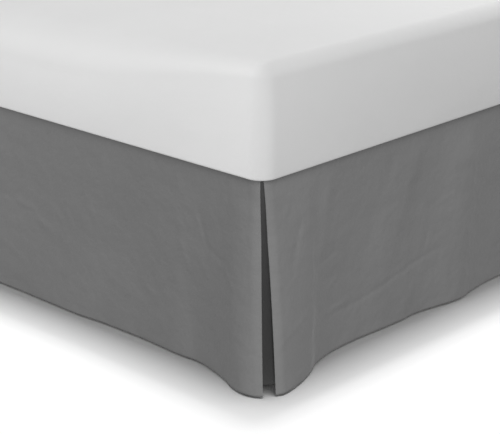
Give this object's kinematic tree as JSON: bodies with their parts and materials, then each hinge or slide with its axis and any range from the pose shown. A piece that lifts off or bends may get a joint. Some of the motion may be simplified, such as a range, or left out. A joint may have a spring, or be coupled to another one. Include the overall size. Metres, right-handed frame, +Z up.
{
  "type": "bed skirt on a bed",
  "caption": "Tailored bed skirt with straight drops, split foot corners and underlays, on a plain bed with a mattress, box spring and metal frame.",
  "frame": {"origin": "middle of the whole object's outline, on the floor", "axes": "+Z up, +Y from the foot of the bed to its head, +X to the side of the seen corner"},
  "size_m": [1.6426, 2.0946, 0.588],
  "materials": {
    "sheet": "plain white cotton weave, matt",
    "skirt": "plain grey microfibre, soft and matt",
    "deck": "plain grey microfibre, matt",
    "ticking": "plain off-white ticking, matt",
    "steel": "black powder coat, satin",
    "glide": "moulded, matt"
  },
  "bodies": {
    "root": {"mattress": "sheet", "deck": "deck", "foot_drop": "skirt", "side_drop_right": "skirt", "side_drop_left": "skirt", "underlay_right": "skirt", "underlay_left": "skirt", "box_spring": "ticking", "side_rail_right": "steel", "side_rail_left": "steel", "foot_rail": "steel", "head_rail": "steel", "centre_rail": "steel", "leg_foot_right": "steel", "leg_foot_left": "steel", "leg_head_right": "steel", "leg_head_left": "steel", "leg_middle": "steel", "glide_foot_right": "glide", "glide_foot_left": "glide", "glide_head_right": "glide", "glide_head_left": "glide", "glide_middle": "glide"}
  },
  "joints": []
}
